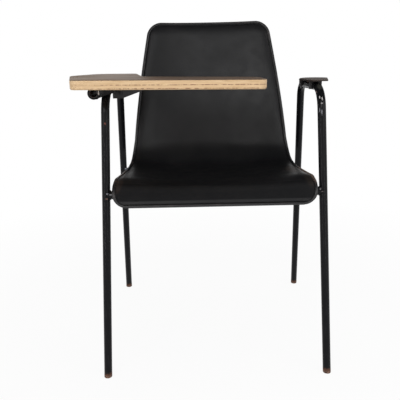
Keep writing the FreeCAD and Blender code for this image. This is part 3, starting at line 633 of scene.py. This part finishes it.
def pad_lift(length, x, half):
    """The liner swells from its groove, with faint hollows where it is drawn down."""
    front, top = length - PAD_INSET, LENGTH - PAD_INSET - length
    ends = swell(front) * roll(top)
    crown = CROWN * ends * roll(half - abs(x))
    proud = blend(PROUD_FRONT, PROUD, front / PROUD_REACH)
    edge = proud * tuck(min(front, top, half - abs(x)), TUCK_REACH)
    place = Vector((x * SLACK_SCALE, length * SLACK_SCALE, SLACK_SEED))
    slack = SLACK * noise.noise(place) * ends
    return SHELL_WALL + PAD_CLEAR + edge + crown + slack


pad = seat_skin(PAD_INSET, 90, 190, pad_lift)
bmesh.ops.solidify(pad, geom=pad.faces[:], thickness=PAD_SKIN)
bmesh.ops.recalc_face_normals(pad, faces=pad.faces)
smooth(pad, ROUND)
pad_piece = piece("seat_liner", pad, leatherette, "chair", "leatherette", "seat_pad")

# ---------------------------------------------------------------- tablet and arm board

ACROSS_FACE = Vector((math.sin(SAG), 0, math.cos(SAG)))
UNDERSIDE = min((v.co - HINGE).dot(ACROSS_FACE) for v in nodes["tablet_board"].data.vertices)
ON_UNDERSIDE, HOLE_EDGE, HOLES_OUT, HOLES_REACH = 0.0002, 0.0015, 0.055, 0.02


def outer_lower(edge):
    """True for the outline of the board's underside, not for its screw holes."""
    for vert in edge.verts:
        away = vert.co - HINGE
        if away.dot(ACROSS_FACE) > UNDERSIDE + ON_UNDERSIDE:
            return False
    from_holes = abs(edge.verts[0].co.x - HINGE.x - HOLES_OUT)
    return edge.calc_length() > HOLE_EDGE or from_holes > HOLES_REACH


BOARD_ROUND, BOARD_STEPS, FACE_ROUND, ARM_ROUND = 0.0032, 4, 0.0005, 0.0007
board = softened("tablet_board", BOARD_ROUND, BOARD_STEPS, outer_lower, clamp=False)
piece("writing_board", board, ply, "tablet", "plywood", "tablet_board")
face = softened("tablet_laminate", FACE_ROUND, 2)
piece("writing_face", face, laminate, "tablet", "laminate", "tablet_laminate")
arm = softened("arm_pad", ARM_ROUND, 2)
piece("arm_board", arm, arm_board, "chair", "arm_laminate", "arm_pad")

# ---------------------------------------------------------------- plates and brackets

for name, node, width, finish, body in (
        ("rest_plate", "tablet_rest_bracket", 0.0004, lit_plate_enamel, "chair"),
        ("arm_strip", "arm_pad_strip", 0.0004, lit_strip_enamel, "chair"),
        ("pivot_lugs", "hinge_lugs", 0.0005, bracket_enamel, "chair"),
        ("front_leaf", "front_tablet_bracket", 0.0004, bracket_enamel, "tablet"),
        ("rear_leaf", "rear_tablet_bracket", 0.0004, bracket_enamel, "tablet"),
        ("front_sleeve", "front_hinge_sleeve", 0.0006, bracket_enamel, "tablet"),
        ("rear_sleeve", "rear_hinge_sleeve", 0.0006, bracket_enamel, "tablet"),
        ("front_brackets", "front_seat_brackets", 0.0004, enamel, "chair"),
        ("rear_brackets", "rear_seat_brackets", 0.0004, enamel, "chair")):
    piece(name, softened(node, width, 2, whole=False), finish, body, "black_paint", node)
bosses = softened("seat_mount_blocks", 0.0008, 2, whole=False)
piece("mount_bosses", bosses, shell_plastic, "chair", "shell_plastic", "seat_mount_blocks")

# ---------------------------------------------------------------- welds

TUBE = 0.0095
ARM_OUT, ARM_HIGH = 0.2395, 0.676
CROSS_BEAD, LUG_BEAD, STRIP_BEAD, SLEEVE_BEAD = 0.0014, 0.0012, 0.0007, 0.0011
# How far the middle of a bead stands off its tube
CROSS_OFF, LUG_OFF, REST_OFF, STRIP_OFF, SLEEVE_OFF = 0.0004, 0.0006, 0.0004, 0.0002, 0.0002
# First and last angle in degrees of each arc
LUG_ARC, REST_ARC, SLEEVE_ARC = (128, 228), (-60, 240), (-68, 40)
STRIP_ARCS = ((-40, 30), (150, 220))
WELD_STEPS, ARC_STEP, ROUGH_WELD, EVEN_WELD = 72, 6, 0.5, 0.15
# Each leg's foot, the corner above it and the height of its cross tube
LEGS = ((Vector((0.267, 0, 0)), Vector((ARM_OUT, 0.073, ARM_HIGH)), 0.445),
        (Vector((0.282, 0.503, 0)), Vector((ARM_OUT, 0.293, ARM_HIGH)), 0.430))


def cross_weld(foot, corner, height, side):
    """Line where a cross tube meets a leg, a little outside both."""
    along = (corner - foot).normalized()
    centre = foot.lerp(corner, height / corner.z)
    radius = TUBE + CROSS_OFF
    points = []
    for i in range(WELD_STEPS):
        turn = math.radians(360 / WELD_STEPS * i)
        away = Vector((0, math.cos(turn), math.sin(turn))) * radius
        flat = away - along * away.dot(along)
        out = Vector((-1, 0, 0)) - along * -along.x
        a, b, c = out.length_squared, flat.dot(out), flat.length_squared - radius ** 2
        reach = (-b + math.sqrt(max(b * b - a * c, 0.0))) / a
        point = centre + away + Vector((-reach, 0, 0))
        points.append(CHAIR + Vector((point.x * side, point.y, point.z)))
    return points


def ring_weld(centre, y, radius, first, last):
    """Arc about a tube that runs front to back, from one angle to another."""
    count = max(int((last - first) / ARC_STEP), 4)
    turns = [math.radians(first + (last - first) * i / count) for i in range(count + 1)]
    return [Vector((centre.x + radius * math.cos(turn), y, centre.z + radius * math.sin(turn)))
            for turn in turns]


def weld(name, lines, radius, finish, body, closed=False, lumps=ROUGH_WELD):
    """Weld beads along some lines."""
    bead(name, lines, radius, finish, body, "black_paint", closed=closed, lumps=lumps)


weld("cross_tube_welds", [cross_weld(*leg, side) for leg in LEGS for side in (-1, 1)],
     CROSS_BEAD, enamel, "chair", closed=True)

ARM_BEND_START, ARM_BEND = 0.1179, 0.050


def arm_centre(side, y):
    """Centre of an arm's tube, which bends down to its front leg."""
    short = max(ARM_BEND_START + CHAIR.y - y, 0.0)
    drop = ARM_BEND - math.sqrt(ARM_BEND ** 2 - short ** 2)
    return CHAIR + Vector((ARM_OUT * side, 0, ARM_HIGH - drop))


LUGS, REST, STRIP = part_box("hinge_lugs"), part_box("tablet_rest_bracket"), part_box("arm_pad_strip")
LUG_SHEET, STRIP_SHEET, WEB_SHEET, SLEEVE_RADIUS = 0.006, 0.003, 0.003, 0.01348


def sheet_faces(low, high, sheet):
    """Front and back faces of the first and the last plate of a piece."""
    return low[1], low[1] + sheet, high[1] - sheet, high[1]


arm_welds = [ring_weld(arm_centre(-1, y), y, TUBE + LUG_OFF, *LUG_ARC)
             for y in sheet_faces(*LUGS, LUG_SHEET)]
arm_welds.append(ring_weld(arm_centre(-1, REST[0][1]), REST[0][1], TUBE + REST_OFF, *REST_ARC))
strip_welds = [ring_weld(arm_centre(1, y), y, TUBE + STRIP_OFF, *arc)
               for y in sheet_faces(*STRIP, STRIP_SHEET) for arc in STRIP_ARCS]
weld("arm_welds", arm_welds, LUG_BEAD, bracket_enamel, "chair")
weld("strip_welds", strip_welds, STRIP_BEAD, lit_strip_enamel, "chair", lumps=EVEN_WELD)

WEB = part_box("front_tablet_bracket")[0][1]
sleeve_welds = [ring_weld(HINGE, y, SLEEVE_RADIUS + SLEEVE_OFF, *SLEEVE_ARC)
                for y in (WEB, WEB + WEB_SHEET)]
weld("sleeve_welds", sleeve_welds, SLEEVE_BEAD, bracket_enamel, "tablet")

# ---------------------------------------------------------------- stage

# The floor shows as white, but keeps the chair's shadow about its feet
SEEN = ("Is Camera Ray", "Is Glossy Ray", "Is Transmission Ray")
SHADOW_NEAR, SHADOW_FAR, WHITE_NEAR = 0.6, 1.5, 0.93
FLOOR_HALF = 8.0
white = Finish("studio_white", (0.8, 0.8, 0.8), 1.0, Specular_IOR_Level=0.0)
emission = white.node("ShaderNodeEmission", {"Color": (1, 1, 1, 1), "Strength": 1.0})
path = white.node("ShaderNodeLightPath")
seen = 0.0
for name in SEEN:
    seen = white.sum("MAXIMUM", path.outputs[name], seen)
distance = white.length(white.stretched((1, 1, 0)))
share = white.sum("MULTIPLY", seen,
                  white.between(distance, SHADOW_NEAR, SHADOW_FAR, WHITE_NEAR, 1.0))
mixed = white.node("ShaderNodeMixShader", {"Fac": share})
white.tree.links.new(white.shader.outputs[0], mixed.inputs[1])
white.tree.links.new(emission.outputs[0], mixed.inputs[2])
white.tree.links.new(mixed.outputs[0], white.tree.nodes["Material Output"].inputs["Surface"])

floor_mesh = bmesh.new()
bmesh.ops.create_grid(floor_mesh, x_segments=1, y_segments=1, size=FLOOR_HALF)
floor_data = bpy.data.meshes.new("floor")
floor_mesh.to_mesh(floor_data)
floor_mesh.free()
floor_data.materials.append(white.material)
floor = bpy.data.objects.new("floor", floor_data)
scene.collection.objects.link(floor)

# White surroundings for the camera, darker overhead in gloss, and a plain grey fill light
FILL = 0.38
MIRRORED_SKY = (("From Min", 0.08), ("From Max", 0.44), ("To Min", 1.0), ("To Max", 0.05))
world = bpy.data.worlds.new("studio")
scene.world = world
world.use_nodes = True
tree = world.node_tree
fill = tree.nodes["Background"]
fill.inputs["Color"].default_value = (1, 1, 1, 1)
fill.inputs["Strength"].default_value = FILL
shown = tree.nodes.new("ShaderNodeBackground")
shown.inputs["Color"].default_value = (1, 1, 1, 1)
rays = tree.nodes.new("ShaderNodeLightPath")
place = tree.nodes.new("ShaderNodeTexCoord")
parts = tree.nodes.new("ShaderNodeSeparateXYZ")
tree.links.new(place.outputs["Generated"], parts.inputs[0])
ceiling = tree.nodes.new("ShaderNodeMapRange")
tree.links.new(parts.outputs["Z"], ceiling.inputs["Value"])
for name, value in MIRRORED_SKY:
    ceiling.inputs[name].default_value = value


def joined(operation, first, second):
    """Two values of the world's tree joined by a sum."""
    made = tree.nodes.new("ShaderNodeMath")
    made.operation = operation
    tree.links.new(first, made.inputs[0])
    tree.links.new(second, made.inputs[1])
    return made.outputs[0]


mirrored = joined("MAXIMUM", rays.outputs["Is Glossy Ray"], rays.outputs["Is Transmission Ray"])
level = joined("MAXIMUM", rays.outputs["Is Camera Ray"],
               joined("MULTIPLY", mirrored, ceiling.outputs["Result"]))
tree.links.new(level, shown.inputs["Strength"])
seen = joined("MAXIMUM", rays.outputs["Is Camera Ray"], mirrored)
both = tree.nodes.new("ShaderNodeMixShader")
tree.links.new(seen, both.inputs[0])
tree.links.new(fill.outputs[0], both.inputs[1])
tree.links.new(shown.outputs[0], both.inputs[2])
tree.links.new(both.outputs[0], tree.nodes["World Output"].inputs["Surface"])


LAMP_TARGET = Vector((0, 0, 0.5))


def lamp(name, place, wide, tall, power, mirrored=True):
    """Soft lamp that faces the middle of the chair, mirrored in gloss or not."""
    data = bpy.data.lights.new(name, "AREA")
    data.shape = "RECTANGLE"
    data.size = wide
    data.size_y = tall
    data.energy = power
    made = bpy.data.objects.new(name, data)
    made.visible_glossy = mirrored
    scene.collection.objects.link(made)
    facing = (LAMP_TARGET - Vector(place)).to_track_quat("-Z", "Y")
    made.matrix_world = Matrix.Translation(place) @ facing.to_matrix().to_4x4()


lamp("key_lamp", (-0.7, -2.7, 1.75), 2.2, 1.1, 33)
lamp("side_lamp", (2.3, -1.7, 1.5), 1.2, 1.2, 20)
lamp("top_lamp", (0.1, -0.2, 2.9), 1.8, 1.8, 18, mirrored=False)
lamp("left_strip", (-1.15, -1.5, 0.6), 0.07, 1.5, 4.5)
lamp("right_strip", (0.95, -1.6, 0.6), 0.07, 1.5, 3.5)

scene.view_settings.view_transform = "Standard"
